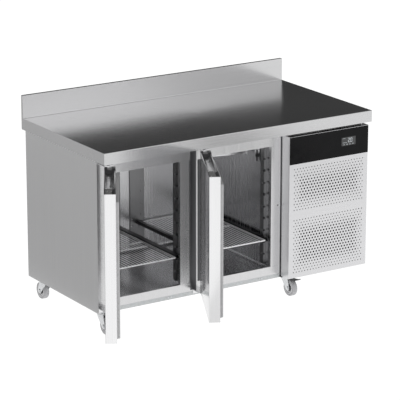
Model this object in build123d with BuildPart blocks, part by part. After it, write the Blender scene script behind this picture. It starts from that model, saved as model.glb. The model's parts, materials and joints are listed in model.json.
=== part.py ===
from build123d import *
import math
import os

# Two-door refrigerated undercounter cabinet on castors, all sizes in millimetres.
# X runs to the right as seen by the user, Y to the back, Z up.
# The origin is on the floor, under the middle of the worktop.

# ---------------------------------------------------------------- driving dimensions
WIDTH = 1342  # worktop, end to end
DEPTH = 700  # worktop, front to back
WORKTOP_HEIGHT = 805  # floor to work surface
UPSTAND_HEIGHT = 100  # above the work surface
UPSTAND_DEPTH = 14
APRON = 50  # folded front edge of the worktop
CASTOR_HEIGHT = 105  # floor to the underside of the cabinet
SKIN = 1.0  # outer and inner sheet metal
WALL = 41  # insulated wall, foam and both skins
DOOR_PITCH = 460  # from one door to the next
DOOR_WIDTH = 407
DOOR_BOTTOM = 133
DOOR_TOP = 745
DOOR_BODY = 46  # outer pan, without liner and gasket
DOOR_ANGLES = {"left": 120.5, "right": 117.5}  # how far each door stands open at rest
SHELF_WIDTH = 325  # gastronorm 1/1
SHELF_DEPTH = 530
SHELF_HEIGHT = 275  # underside of the shelf's lower wires
GRILLE_PITCH = 15

# ---------------------------------------------------------------- planes of the cabinet
LEFT = -WIDTH / 2
FRONT = -DEPTH / 2
APRON_BOTTOM = WORKTOP_HEIGHT - APRON
BODY = {"x0": LEFT + 1, "x1": 237, "y0": -286, "y1": 318, "z0": CASTOR_HEIGHT, "z1": APRON_BOTTOM}
CHAMBER = {"x0": BODY["x0"] + WALL - 6, "x1": BODY["x1"] - WALL, "y1": BODY["y1"] - WALL - 9,
           "z0": BODY["z0"] + WALL, "z1": BODY["z1"] - WALL}
OPENINGS = ((-629, -271), (-169, 189))  # left and right edges of the two doorways
OPENING_BOTTOM = 160
OPENING_TOP = 698
FRAME_DEPTH = 16
PLINTH_TOP = 123  # lower edge of the door frame, top of the plain strip below it

# doors: the pivot is inside the outer hinge corner, and these are measured from it
PIVOT_INSET = 9  # from the door's hinge edge
PIVOT_COVER = 7  # from the door's outer face
FREE_EDGE = DOOR_WIDTH - PIVOT_INSET
BODY_BACK = DOOR_BODY - PIVOT_COVER
LINER_BACK = BODY_BACK + 6
GASKET_BACK = BODY_BACK + 12.6
GRIP_BOTTOM = DOOR_TOP - 30
PIVOT_Y = BODY["y0"] - GASKET_BACK - 0.4
PIVOTS = {"left": -657, "right": -657 + DOOR_PITCH}
PIN_RADIUS = 3
RUNNING_GAP = 0.05  # between a pin and its bore
SEAM = 0.2  # between strips or slabs that meet end to end
GRIP_RIM = 1.2  # folded lip and end walls that stand round the grip channel
COVE = 15  # rounding between the chamber's floor and its walls

# shelves and what carries them
SHELF_LEFT_EDGES = {"left": -604, "right": -148}
UPRIGHTS_X = ((-634.6, 1), (-248, -1), (-171, 1), (195.6, -1))  # back of each channel, facing
UPRIGHTS_Y = (-238, 215)
UPRIGHT_DEPTH = 12
UPRIGHT_WIDTH = 26
CENTRE_UPRIGHT_X = (-260, -239)  # flat on the back wall, for the left compartment
CENTRE_PLATE_X = (-186, -114)  # flat on the back wall, for the right compartment
TAB_PITCH = 53

# machine compartment, to the right of the insulated body
PANEL_LEFT = 241
PANEL_RIGHT = 654
PANEL_BOTTOM = 111
PANEL_TOP = 743
PANEL_FACE = FRONT + 3
FASCIA_BOTTOM = 621
MACHINE_FRONT = -300  # front edge of the base tray and the end panel

# castors
CASTOR_X = (-616, 314)
CASTOR_ROWS = {"front": (-228, -1), "rear": (258, 1)}  # plate centre and the side the wheel trails to
WHEEL_RADIUS = 37.5
WHEEL_WIDTH = 27
TRAIL = 32
AXLE_RADIUS = 4
KINGPIN_RADIUS = 5
BRAKE_PIVOT = (26, 80)  # behind the kingpin and above the floor
BRAKE_PIN = 1.8

os.makedirs("parts", exist_ok=True)


# ---------------------------------------------------------------- helpers
def save(piece, name):
    """Label a finished piece and write its STEP file."""
    piece.part.label = name
    export_step(piece.part, f"parts/{name}.step")


def block(x, y, z, mode=Mode.ADD):
    """A rectangular block between a low and a high limit along each axis of the workplane."""
    with Locations((sum(x) / 2, sum(y) / 2, sum(z) / 2)):
        Box(x[1] - x[0], y[1] - y[0], z[1] - z[0], mode=mode)


def round_bar(x, y, z, radius, axis=Axis.Z, mode=Mode.ADD):
    """A round bar along one axis: its limits are given on that axis, its centre on the others."""
    turns = {Axis.X: (0, 90, 0), Axis.Y: (90, 0, 0), Axis.Z: (0, 0, 0)}
    limits = {Axis.X: x, Axis.Y: y, Axis.Z: z}[axis]
    centre = [sum(v) / 2 if isinstance(v, tuple) else v for v in (x, y, z)]
    with Locations(Location(tuple(centre), turns[axis])):
        Cylinder(radius, limits[1] - limits[0], mode=mode)


def door_plane(side):
    """The frame of an open door: origin at its pivot, X along its width, Y into the cabinet."""
    angle = math.radians(DOOR_ANGLES[side])
    along = (math.cos(angle), -math.sin(angle), 0)
    return Plane(origin=(PIVOTS[side], PIVOT_Y, 0), x_dir=along, z_dir=(0, 0, 1))


# ---------------------------------------------------------------- worktop
def make_worktop():
    with BuildPart() as worktop:
        with BuildSketch(Plane.YZ.offset(LEFT)):
            with BuildLine():
                Polyline(
                    (FRONT, APRON_BOTTOM),
                    (FRONT, WORKTOP_HEIGHT),
                    (-FRONT - UPSTAND_DEPTH, WORKTOP_HEIGHT),
                    (-FRONT - UPSTAND_DEPTH, WORKTOP_HEIGHT + UPSTAND_HEIGHT),
                    (-FRONT, WORKTOP_HEIGHT + UPSTAND_HEIGHT),
                    (-FRONT, APRON_BOTTOM),
                    close=True,
                )
            make_face()
        extrude(amount=WIDTH)
        along = worktop.edges().filter_by(Axis.X)
        fillet(along.filter_by_position(Axis.Z, WORKTOP_HEIGHT - 1, WORKTOP_HEIGHT + 1), radius=2.5)
        underside = worktop.faces().sort_by(Axis.Z)[0]
        offset(amount=-1.5, openings=underside)
        lip_y = (FRONT + 0.5, FRONT + 15)
        block((LEFT + 0.5, -LEFT - 0.5), lip_y, (APRON_BOTTOM, APRON_BOTTOM + 1.5))
    save(worktop, "worktop")

    with BuildPart() as board:
        inset = 2.4
        block((LEFT + inset, -LEFT - inset), (FRONT + inset, -FRONT - inset),
              (APRON_BOTTOM + 1.7, WORKTOP_HEIGHT - 1.6))
    save(board, "worktop_board")


# ---------------------------------------------------------------- insulated body
def make_casing():
    x0, x1, y0, y1, z0, z1 = BODY.values()
    with BuildPart() as side:
        block((x0, x0 + SKIN), (y0, y1), (z0, z1))
        block((x0, x0 + 13), (y0, y0 + SKIN), (z0, z1))
        block((x0, x0 + 20), (y1 - SKIN, y1), (z0, z1))
    save(side, "side_panel")

    with BuildPart() as partition:
        block((x1 - SKIN, x1), (y0, y1), (z0, z1))
        block((x1 - 12, x1), (y1 - SKIN, y1), (z0, z1))
    save(partition, "partition_panel")

    with BuildPart() as back:
        block((x0 + 20.1, x1 - 12.1), (y1 - SKIN, y1), (z0, z1))
    save(back, "back_panel")

    with BuildPart() as bottom:
        block((x0 + 13.1, x1 - SKIN), (y0, y1 - SKIN), (z0, z0 + SKIN))
        block((x0 + 13.1, x1 - SKIN), (y0, y0 + 2), (z0, PLINTH_TOP))
    save(bottom, "bottom_panel")

    with BuildPart() as foam:
        inner_x = (CHAMBER["x0"] - SKIN - 0.1, CHAMBER["x1"] + SKIN + 0.1)
        inner_z = (CHAMBER["z0"] - SKIN - 0.1, CHAMBER["z1"] + SKIN + 0.1)
        outer_x = (x0 + SKIN + 0.1, x1 - SKIN - 0.1)
        outer_z = (z0 + SKIN + 0.1, z1 - 0.1)
        depth = (y0 + FRAME_DEPTH + 0.1, y1 - SKIN - 0.1)
        back_y = CHAMBER["y1"] + SKIN + 0.1
        between_x = (inner_x[0] + SEAM, inner_x[1] - SEAM)
        block((outer_x[0], inner_x[0]), depth, outer_z)
        block((inner_x[1], outer_x[1]), depth, outer_z)
        block(between_x, depth, (outer_z[0], inner_z[0]))
        block(between_x, depth, (inner_z[1], outer_z[1]))
        block(between_x, (back_y, depth[1]), (inner_z[0] + SEAM, inner_z[1] - SEAM))
    save(foam, "insulation")

    with BuildPart() as liner:
        width = (CHAMBER["x0"] - SKIN, CHAMBER["x1"] + SKIN)
        front = y0 + FRAME_DEPTH + 0.2
        block(width, (front, CHAMBER["y1"] + SKIN), (CHAMBER["z0"] - SKIN, CHAMBER["z1"] + SKIN))
        open_face = liner.faces().sort_by(Axis.Y)[0]
        offset(amount=-SKIN, openings=open_face)
        floor_edges = liner.edges().filter_by_position(
            Axis.Z, CHAMBER["z0"] - 0.2, CHAMBER["z0"] + 0.2
        )
        inner_edges = floor_edges.filter_by(lambda e: e.center().Y > front + 1 and e.length > 100)
        fillet(inner_edges, radius=COVE)
    save(liner, "liner")


def make_front_frame():
    x0, x1, y0 = BODY["x0"] + 13.2, BODY["x1"] - SKIN - 0.1, BODY["y0"]
    depth = (y0, y0 + FRAME_DEPTH)
    (left_a, left_b), (right_a, right_b) = OPENINGS
    middle = (left_b + right_a) / 2
    with BuildPart() as frame:
        block((x0, x1), depth, (OPENING_TOP, APRON_BOTTOM - 0.2))
        block((x0, x1), depth, (PLINTH_TOP + 0.1, OPENING_BOTTOM))
        for stile in ((x0, left_a), (left_b, right_a), (right_b, x1)):
            block(stile, depth, (OPENING_BOTTOM + SEAM, OPENING_TOP - SEAM))
        # a shallow trim channel runs up the middle of the centre post
        block((middle - 14, middle + 14), (y0, y0 + 3), (OPENING_BOTTOM, OPENING_TOP), mode=Mode.SUBTRACT)
    save(frame, "front_frame")


# ---------------------------------------------------------------- racks and shelves
def make_racks():
    bottom, top = CHAMBER["z0"] + COVE + 1, CHAMBER["z1"] - 4
    first_tab = CHAMBER["z0"] + 56
    tabs = [(first_tab + step * TAB_PITCH, 9 if step % 2 == 0 else 5) for step in range(10)]
    tabs = [(z, tall) for z, tall in tabs if abs(z - SHELF_HEIGHT) > 16]
    with BuildPart() as uprights:
        for x, facing in UPRIGHTS_X:
            beside_centre_post = -300 < x < 0
            for y in UPRIGHTS_Y[:1] if beside_centre_post else UPRIGHTS_Y:
                reach = sorted((x, x + facing * UPRIGHT_DEPTH))
                block(reach, (y, y + UPRIGHT_WIDTH), (bottom, top))
                hollow = sorted((x - facing, x + facing * (UPRIGHT_DEPTH - 1.5)))
                block(hollow, (y + 1.5, y + UPRIGHT_WIDTH - 1.5), (bottom - 1, top + 1), mode=Mode.SUBTRACT)
                front = x + facing * UPRIGHT_DEPTH
                tab_x = sorted((front - facing, front + facing * 4))
                for z, tall in tabs:
                    block(tab_x, (y + 9, y + 17), (z, z + tall))
        # between the compartments the rear supports lie flat on the back wall
        wall = CHAMBER["y1"] - 0.1
        plate_y = (wall - 6, wall)
        block(CENTRE_UPRIGHT_X, (wall - 9, wall), (bottom, top))
        block(CENTRE_PLATE_X, plate_y, (bottom, top))
        for x, front in ((sum(CENTRE_UPRIGHT_X) / 2, wall - 9), (CENTRE_PLATE_X[1] - 16, plate_y[0])):
            for z, tall in tabs:
                block((x - 4, x + 4), (front - 2, front + 1), (z, z + tall))
        for x, z in ((-177, 296), (-142, 282), (-178, 262), (-144, 262)):
            round_bar(x, (plate_y[0] - 1, wall + 1), z, 4.5, Axis.Y, mode=Mode.SUBTRACT)
    save(uprights, "rack_uprights")

    with BuildPart() as runners:
        for index, (x, facing) in enumerate(UPRIGHTS_X):
            side = "left" if index < 2 else "right"
            near_left = facing == 1
            shelf_edge = SHELF_LEFT_EDGES[side] + (0 if near_left else SHELF_WIDTH)
            wall = x + facing * (UPRIGHT_DEPTH + 0.2)
            ledge = shelf_edge + facing * 14
            span_y = (UPRIGHTS_Y[0] - 32, UPRIGHTS_Y[1] + UPRIGHT_WIDTH + 18)
            low = SHELF_HEIGHT - 0.4
            block(sorted((wall, ledge)), span_y, (low - 1.5, low))
            block(sorted((wall, wall + facing * 1.5)), span_y, (low - 1.5, low + 14))
            block(sorted((wall, shelf_edge + facing * 6)), span_y, (low + 12.5, low + 14))
    save(runners, "shelf_runners")


def make_shelf(side):
    x0 = SHELF_LEFT_EDGES[side]
    x1 = x0 + SHELF_WIDTH
    y0 = UPRIGHTS_Y[0] - 34
    y1 = y0 + SHELF_DEPTH
    rim, wire = 3.0, 1.5
    z = SHELF_HEIGHT + rim
    wires = 20
    pitch = (SHELF_WIDTH - 2 * rim) / (wires + 1)
    with BuildPart() as shelf:
        with BuildLine(Plane.XY.offset(z)) as outline:
            FilletPolyline((x0 + rim, y0 + rim), (x1 - rim, y0 + rim), (x1 - rim, y1 - rim), (x0 + rim, y1 - rim),
                           radius=8, close=True)
        with BuildSketch(Plane(origin=outline.line @ 0, z_dir=outline.line % 0)):
            Circle(rim)
        sweep(path=outline.line)
        for y in (y0 + SHELF_DEPTH / 2, y0 + SHELF_DEPTH / 2 + 9):
            round_bar((x0 + rim, x1 - rim), y, z - 0.4, 2.0, Axis.X)
        for number in range(1, wires + 1):
            x = x0 + rim + number * pitch
            round_bar(x, (y0 + rim, y1 - rim), z + 2.7, wire, Axis.Y)
    save(shelf, f"shelf_{side}")


# ---------------------------------------------------------------- cooling inside the chamber
def make_evaporator():
    x0, x1 = -120, 176
    y0, y1 = -120, 250
    top = CHAMBER["z1"] - 0.5
    left_bottom, right_bottom = top - 62, top - 84
    with BuildPart() as cover:
        with BuildSketch(Plane.XZ.offset(-y0)):
            with BuildLine():
                Polyline((x0, top), (x1, top), (x1, right_bottom), (x0, left_bottom), close=True)
            make_face()
        extrude(amount=-(y1 - y0))
        offset(amount=-1.2, openings=cover.faces().sort_by(Axis.Z)[-1])
        with Locations(Location((x0, (y0 + y1) / 2 + 40, top - 33), (0, 90, 0))):
            Cylinder(26, 8, mode=Mode.SUBTRACT)
        for y in range(int(y0) + 40, int(y1) - 20, 22):
            block((x1 - 3, x1 + 1), (y, y + 8), (top - 60, top - 14), mode=Mode.SUBTRACT)
    save(cover, "evaporator_cover")

    with BuildPart() as coil:
        fins_x = (-48, 160)
        fins = 28
        for number in range(fins):
            x = fins_x[0] + number * (fins_x[1] - fins_x[0]) / (fins - 1)
            block((x, x + 1), (-60, 200), (top - 52, top - 10))
        for y in range(-40, 200, 40):
            for z in (top - 42, top - 20):
                round_bar((fins_x[0] - 6, fins_x[1] + 7), y, z, 4, Axis.X)
    save(coil, "evaporator_coil")

    fan_y, fan_z = (y0 + y1) / 2 + 40, top - 33
    make_fan("evaporator_fan", -84, fan_y, fan_z, 23, 10, Axis.X)
    return fan_y, fan_z


def make_fan(name, at, across, height, radius, thick, axis):
    """Hub and pitched blades, turning about the given axis, centred at `at` along it."""
    if axis == Axis.X:
        plane = Plane(origin=(at, across, height), x_dir=(0, 1, 0), z_dir=(1, 0, 0))
    else:
        plane = Plane(origin=(across, at, height), x_dir=(1, 0, 0), z_dir=(0, -1, 0))
    hub = radius * 0.3
    blades = 5
    with BuildPart(plane) as fan:
        Cylinder(hub, thick)
        with PolarLocations(0, blades):
            with Locations(Location((radius * 0.6, 0, 0), (28, 0, 0))):
                Box(radius * 0.76, radius * 0.62, 1.4)
        Cylinder(2.55, thick + 2, mode=Mode.SUBTRACT)
        with BuildSketch(plane.offset(-thick)):
            Circle(radius)
        extrude(amount=2 * thick, mode=Mode.INTERSECT)
    save(fan, name)


def make_fan_motors(fan_y, fan_z, fan_x, condenser_z):
    with BuildPart() as motors:
        round_bar((-76, -64), fan_y, fan_z, 14, Axis.X)
        round_bar((-90, -75), fan_y, fan_z, 2.5, Axis.X)
        round_bar(fan_x, (-214, -160), condenser_z, 30, Axis.Y)
        round_bar(fan_x, (-240, -213), condenser_z, 2.5, Axis.Y)
        for turn in range(4):
            angle = math.radians(45 + 90 * turn)
            with Locations(Location((fan_x, -196, condenser_z), (0, math.degrees(angle), 0))):
                with Locations((68, 0, 0)):
                    Box(82, 3, 8)
    save(motors, "fan_motors")


def make_probe_and_drain():
    with BuildPart() as probe:
        round_bar(CHAMBER["x1"] - 8, -178, (610, 660), 3.5)
        block((CHAMBER["x1"] - 12, CHAMBER["x1"] - 0.2), (-184, -172), (628, 640))
        round_bar(CHAMBER["x1"] - 8, -205, (612, 690), 1.5)
        block((CHAMBER["x1"] - 10, CHAMBER["x1"] - 0.2), (-208, -202), (684, 690))
    save(probe, "temperature_probe")

    with BuildPart() as drain:
        x = CHAMBER["x1"] - 40
        round_bar(x, 225, (CHAMBER["z0"] + 0.2, CHAMBER["z0"] + 3), 22)
        round_bar(x, 225, (CHAMBER["z0"] + 1, CHAMBER["z0"] + 4), 14, mode=Mode.SUBTRACT)
        round_bar(x, 225, (CHAMBER["z0"] + 0.2, CHAMBER["z0"] + 1.2), 16)
    save(drain, "drain_plug")


# ---------------------------------------------------------------- doors
def make_door(side):
    plane = door_plane(side)
    edges_u = (-PIVOT_INSET, FREE_EDGE)
    body_w = (-PIVOT_COVER, BODY_BACK)

    def bore(radius):
        round_bar(0, 0, (DOOR_BOTTOM - 5, DOOR_BOTTOM + 20.2), radius, mode=Mode.SUBTRACT)
        round_bar(0, 0, (DOOR_TOP - 20.2, DOOR_TOP + 5), radius, mode=Mode.SUBTRACT)

    with BuildPart(plane) as skin:
        block(edges_u, body_w, (DOOR_BOTTOM, GRIP_BOTTOM))
        fillet(skin.edges().filter_by(Axis.Z), radius=3)
        block((edges_u[0] + SKIN, edges_u[1] - SKIN), (body_w[0] + SKIN, body_w[1] + 1),
              (DOOR_BOTTOM + SKIN, GRIP_BOTTOM - SKIN), mode=Mode.SUBTRACT)
        bore(5.1)
        rim_z = (GRIP_BOTTOM + SEAM, DOOR_TOP)
        block(edges_u, (body_w[0], body_w[0] + GRIP_RIM), rim_z)
        for end in ((edges_u[0], edges_u[0] + GRIP_RIM), (edges_u[1] - GRIP_RIM, edges_u[1])):
            block(end, (body_w[0] + GRIP_RIM + SEAM, BODY_BACK), rim_z)
    save(skin, f"door_{side}_skin")

    with BuildPart(plane) as core:
        block((-PIVOT_INSET + 1.2, FREE_EDGE - 1.2), (-PIVOT_COVER + 1.2, BODY_BACK - 0.1),
              (DOOR_BOTTOM + 1.2, GRIP_BOTTOM - 1.2))
        fillet(core.edges().filter_by(Axis.Z), radius=1)
        bore(5.1)
    save(core, f"door_{side}_core")

    with BuildPart(plane) as liner:
        block((25, 379), (BODY_BACK, LINER_BACK), (165, 700))
        fillet(liner.edges().filter_by(Axis((0, 0, 0), tuple(plane.y_dir))), radius=12)
    save(liner, f"door_{side}_liner")

    with BuildPart(plane) as gasket:
        outer_u, inner_u = (11, 394), (24, 380)
        low, high = (150, 163), (702, 713)
        w = (BODY_BACK + 0.1, GASKET_BACK)
        block(outer_u, w, low)
        block(outer_u, w, high)
        for strip in ((outer_u[0], inner_u[0]), (inner_u[1], outer_u[1])):
            block(strip, w, (low[1] + SEAM, high[0] - SEAM))
    save(gasket, f"door_{side}_gasket")

    with BuildPart(plane) as grip:
        inner_u = (edges_u[0] + GRIP_RIM + 0.1, edges_u[1] - GRIP_RIM - 0.1)
        inner_w = (body_w[0] + GRIP_RIM + 0.1, BODY_BACK)
        floor_z = (GRIP_BOTTOM + 0.1, GRIP_BOTTOM + 5)
        caps = ((inner_u[0], inner_u[0] + 18), (inner_u[1] - 14, inner_u[1]))
        block(inner_u, inner_w, floor_z)
        for cap in caps:
            block(cap, inner_w, (floor_z[1] + SEAM, DOOR_TOP - 2))
        # the slanted rail at the back of the channel, between the end caps
        rail_u = (caps[0][1] + SEAM, caps[1][0] - SEAM)
        section = Plane(origin=plane.from_local_coords((rail_u[0], 0, 0)), x_dir=plane.y_dir, z_dir=plane.x_dir)
        with BuildSketch(section):
            with BuildLine():
                rail_bottom, rail_top = floor_z[1] + SEAM, DOOR_TOP - 8
                Polyline((BODY_BACK, rail_bottom), (BODY_BACK, rail_top), (BODY_BACK - 6, rail_top),
                         (BODY_BACK - 12, rail_bottom), close=True)
            make_face()
        extrude(amount=rail_u[1] - rail_u[0])
        bore(5.1)
    save(grip, f"door_{side}_grip")

    with BuildPart(plane) as bushes:
        for low, high, flange in ((DOOR_BOTTOM, DOOR_BOTTOM + 20, (DOOR_BOTTOM - 2.7, DOOR_BOTTOM - 0.1)),
                                  (DOOR_TOP - 20, DOOR_TOP, (DOOR_TOP + 0.1, DOOR_TOP + 2.7))):
            round_bar(0, 0, (min(low, flange[0]), max(high, flange[1])), 5)
            round_bar(0, 0, flange, 6.5)
            round_bar(0, 0, (low - 5, high + 5), PIN_RADIUS + RUNNING_GAP, mode=Mode.SUBTRACT)
    save(bushes, f"door_{side}_bushes")


def make_hinges():
    low_plate = (DOOR_BOTTOM - 6.5, DOOR_BOTTOM - 3)
    high_plate = (DOOR_TOP + 3, DOOR_TOP + 6.5)
    front, back = PIVOT_Y - 9, BODY["y0"] - 0.1
    with BuildPart() as brackets:
        for x in PIVOTS.values():
            for plate in (low_plate, high_plate):
                block((x - 12, x + 30), (front, back), plate)
                round_bar(x, PIVOT_Y, (plate[0] - 1, plate[1] + 1), PIN_RADIUS + RUNNING_GAP, mode=Mode.SUBTRACT)
            block((x - 12, x + 30), (back - 3, back), (low_plate[0] - 15, low_plate[1]))
            # stop buffer beside each pivot
            round_bar(x + 23, PIVOT_Y + 2, (low_plate[0] - 4, low_plate[0]), 5)
            round_bar(x + 23, PIVOT_Y + 2, (high_plate[1], high_plate[1] + 2), 5)
    save(brackets, "hinge_brackets")

    with BuildPart() as pins:
        for x in PIVOTS.values():
            round_bar(x, PIVOT_Y, (low_plate[0] - 2, DOOR_BOTTOM + 16), PIN_RADIUS)
            round_bar(x, PIVOT_Y, (low_plate[0] - 4, low_plate[0] - 0.05), PIN_RADIUS + 2)
            round_bar(x, PIVOT_Y, (DOOR_TOP - 16, high_plate[1] + 1), PIN_RADIUS)
            round_bar(x, PIVOT_Y, (high_plate[1] + 0.05, high_plate[1] + 2), PIN_RADIUS + 2)
    save(pins, "hinge_pins")


# ---------------------------------------------------------------- machine compartment
def grille_holes():
    """Centres and radii of the staggered vent holes, smaller towards the edge of each field."""
    centre_x = (PANEL_LEFT + PANEL_RIGHT) / 2
    row_step = GRILLE_PITCH * math.sqrt(3) / 2
    radii = (2.4, 2.4, 2.7, 3.3, 3.7, 4.0)
    columns = 25
    holes = {}
    for rows, top in ((15, 598), (19, 370)):
        for row in range(rows):
            staggered = row % 2
            for column in range(columns - staggered):
                from_side = min(column, columns - 1 - staggered - column)
                from_end = min(row, rows - 1 - row)
                depth_in = min(from_end, from_side * 2)
                radius = radii[min(depth_in, len(radii) - 1)]
                x = centre_x + (column + staggered / 2 - (columns - 1) / 2) * GRILLE_PITCH
                holes.setdefault(radius, []).append((x, top - row * row_step))
    return holes


def make_service_panel():
    x0, x1, face = PANEL_LEFT, PANEL_RIGHT, PANEL_FACE
    thick = 1.2
    with BuildPart() as panel:
        with BuildSketch(Plane.XZ.offset(-face)):
            with Locations(((x0 + x1) / 2, (PANEL_BOTTOM + PANEL_TOP) / 2)):
                Rectangle(x1 - x0, PANEL_TOP - PANEL_BOTTOM)
            for radius, centres in grille_holes().items():
                with Locations(*centres):
                    Circle(radius, mode=Mode.SUBTRACT)
        extrude(amount=-thick)
        # the left flange reaches back past the door frame, and the right one stops at the end panel
        block((x0, x0 + thick), (face, BODY["y0"] + 7), (PANEL_BOTTOM, PANEL_TOP))
        block((x1 - thick, x1), (face, MACHINE_FRONT - 3), (PANEL_BOTTOM, PANEL_TOP))
        for fold in ((PANEL_BOTTOM, PANEL_BOTTOM + thick), (PANEL_TOP - thick, PANEL_TOP)):
            block((x0, x1), (face, face + 20), fold)
        block((x0, x1), (face - 2.6, face + 1), (PANEL_TOP - thick, PANEL_TOP))
    save(panel, "service_panel")

    with BuildPart() as fascia:
        block((x0 + 0.5, x1 - 0.5), (face - 2.6, face - 0.1), (FASCIA_BOTTOM, PANEL_TOP - thick - 0.1))
        fillet(fascia.edges().filter_by(Axis.Y), radius=2)
        window_x = (PANEL_RIGHT - 143, PANEL_RIGHT - 68)
        block(window_x, (face - 3, face - 1.4), (666, 704), mode=Mode.SUBTRACT)
    save(fascia, "control_fascia")

    with BuildPart() as display:
        block((window_x[0] + 0.3, window_x[1] - 0.3), (face - 2.5, face - 1.5), (666.3, 703.7))
        for key in range(4):
            x = window_x[0] + 14 + key * 15.5
            round_bar(x, (face - 2.8, face - 2.4), 672, 2.6, Axis.Y)
    save(display, "control_display")


def make_machine_casing():
    left, right, back = BODY["x1"] + 1, PANEL_RIGHT, BODY["y1"]
    front = MACHINE_FRONT
    with BuildPart() as base:
        block((left, right), (front, back), (CASTOR_HEIGHT, CASTOR_HEIGHT + 2.5))
        for rail in ((front, front + 2.5), (back - 2.5, back)):
            block((left + 6, right - 1.3), rail, (CASTOR_HEIGHT, CASTOR_HEIGHT + 25))
    save(base, "machine_base")

    with BuildPart() as side:
        block((right - 1.2, right), (front, back), (CASTOR_HEIGHT + 2.6, APRON_BOTTOM - 0.2))
        block((right - 16, right), (back - 1.2, back), (CASTOR_HEIGHT + 26, APRON_BOTTOM - 0.2))
        # a ladder of slots lets the condenser air out of the end
        for row in range(9):
            z = 330 + row * 26
            block((right - 3, right + 2), (60, 240), (z, z + 8), mode=Mode.SUBTRACT)
    save(side, "machine_side_panel")

    with BuildPart() as grille:
        block((left + 1, right - 16.2), (back - 1.2, back), (CASTOR_HEIGHT + 26, APRON_BOTTOM - 0.2))
        for row in range(14):
            z = 190 + row * 36
            for x in (left + 40, left + 218):
                block((x, x + 140), (back - 3, back + 2), (z, z + 9), mode=Mode.SUBTRACT)
        round_bar(600, (back - 3, back + 2), 160, 8.2, Axis.Y, mode=Mode.SUBTRACT)
    save(grille, "machine_back_grille")


def make_refrigeration():
    floor = CASTOR_HEIGHT + 2.5
    fan_x, fan_z = 447, 330
    with BuildPart() as condenser:
        fins = 40
        width = (300, 594)
        for number in range(fins):
            x = width[0] + number * (width[1] - width[0]) / (fins - 1)
            block((x, x + 1), (-296, -252), (196, 464))
        for z in range(210, 460, 32):
            for y in (-285, -263):
                round_bar((width[0] - 7, width[1] + 8), y, z, 4.5, Axis.X)
        for x in (width[0] - 9, width[1] + 9):
            block((x - 1, x + 1), (-297, -251), (floor + 0.2, 470))
    save(condenser, "condenser_coil")

    with BuildPart() as shroud:
        block((290, 604), (-250, -220), (190, 470))
        block((292, 602), (-251, -222), (192, 468), mode=Mode.SUBTRACT)
        round_bar(fan_x, (-224, -218), fan_z, 118, Axis.Y, mode=Mode.SUBTRACT)
        ring = (-220, -196)
        round_bar(fan_x, ring, fan_z, 120, Axis.Y)
        round_bar(fan_x, (ring[0] - 1, ring[1] + 1), fan_z, 118, Axis.Y, mode=Mode.SUBTRACT)
        for x in (310, 584):
            block((x - 8, x + 8), (-240, -238), (floor + 0.2, 191))
    save(shroud, "fan_shroud")

    make_fan("condenser_fan", -226, fan_x, fan_z, 112, 22, Axis.Y)

    with BuildPart() as compressor:
        with BuildSketch(Plane.XY.offset(floor + 22)):
            with Locations((455, 60)):
                SlotOverall(230, 165)
        extrude(amount=150)
        fillet(compressor.faces().sort_by(Axis.Z)[-1].edges(), radius=55)
        fillet(compressor.faces().sort_by(Axis.Z)[0].edges(), radius=20)
        with BuildSketch(Plane.XY.offset(floor + 14)):
            with Locations((455, 60)):
                RectangleRounded(230, 150, 12)
        extrude(amount=9)
    save(compressor, "compressor")

    with BuildPart() as grommets:
        for x in (355, 555):
            for y in (0, 120):
                round_bar(x, y, (floor + 0.1, floor + 13.9), 13)
    save(grommets, "compressor_mounts")

    with BuildPart() as tray:
        block((270, 430), (170, 300), (floor + 0.2, floor + 42))
        block((271.5, 428.5), (171.5, 298.5), (floor + 1.7, floor + 60), mode=Mode.SUBTRACT)
    save(tray, "evaporation_tray")

    with BuildPart() as box:
        block((566, 640), (150, 290), (320, 460))
        fillet(box.edges().filter_by(Axis.X), radius=6)
        block((640.1, 652.7), (170, 270), (350, 430))
    save(box, "electrical_box")

    with BuildPart() as inlet:
        round_bar(600, (BODY["y1"] + 0.1, BODY["y1"] + 14), 160, 12, Axis.Y)
        round_bar(600, (BODY["y1"] - 16, BODY["y1"] + 0.2), 160, 8, Axis.Y)
        round_bar(600, (BODY["y1"] - 30, BODY["y1"] + 20), 160, 4.5, Axis.Y, mode=Mode.SUBTRACT)
    save(inlet, "cable_inlet")

    with BuildPart() as pipes:
        for radius, bend, route in (
            (4, 24, ((365, 60, 280.5), (365, 60, 420), (330, -120, 520), (300, -215, 520))),
            (6, 30, ((545, 60, 280.5), (545, 60, 560), (300, 120, 620), (238.5, 120, 620))),
        ):
            with BuildLine() as path:
                FilletPolyline(*route, radius=bend)
            with BuildSketch(Plane(origin=path.line @ 0, z_dir=path.line % 0)):
                Circle(radius)
            sweep(path=path.line)
        # filter dryer
        round_bar(280, -120, (250, 370), 16)
        round_bar(280, -120, (225, 400), 4)
    save(pipes, "refrigerant_pipes")
    return fan_x, fan_z


# ---------------------------------------------------------------- castors
def castor_planes():
    """Name and frame of each castor: origin on the floor under its kingpin, Y where it trails."""
    for column, x in zip(("left", "right"), CASTOR_X):
        for row, (y, trails) in CASTOR_ROWS.items():
            yield f"{row}_{column}", row, Plane(origin=(x, y, 0), x_dir=(trails, 0, 0), z_dir=(0, 0, 1))


def make_castors():
    plate_z = (CASTOR_HEIGHT - 4, CASTOR_HEIGHT - 0.1)
    race_z = (90, plate_z[0])
    with BuildPart() as plates:
        for _, _, plane in castor_planes():
            x, y = plane.origin.X, plane.origin.Y
            block((x - 42, x + 42), (y - 35, y + 35), plate_z)
            round_bar(x, y, race_z, 25)
            round_bar(x, y, (race_z[0] - 1, race_z[1] + 1), KINGPIN_RADIUS + RUNNING_GAP, mode=Mode.SUBTRACT)
    save(plates, "castor_plates")

    for name, row, plane in castor_planes():
        make_castor(name, row, plane)


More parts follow.
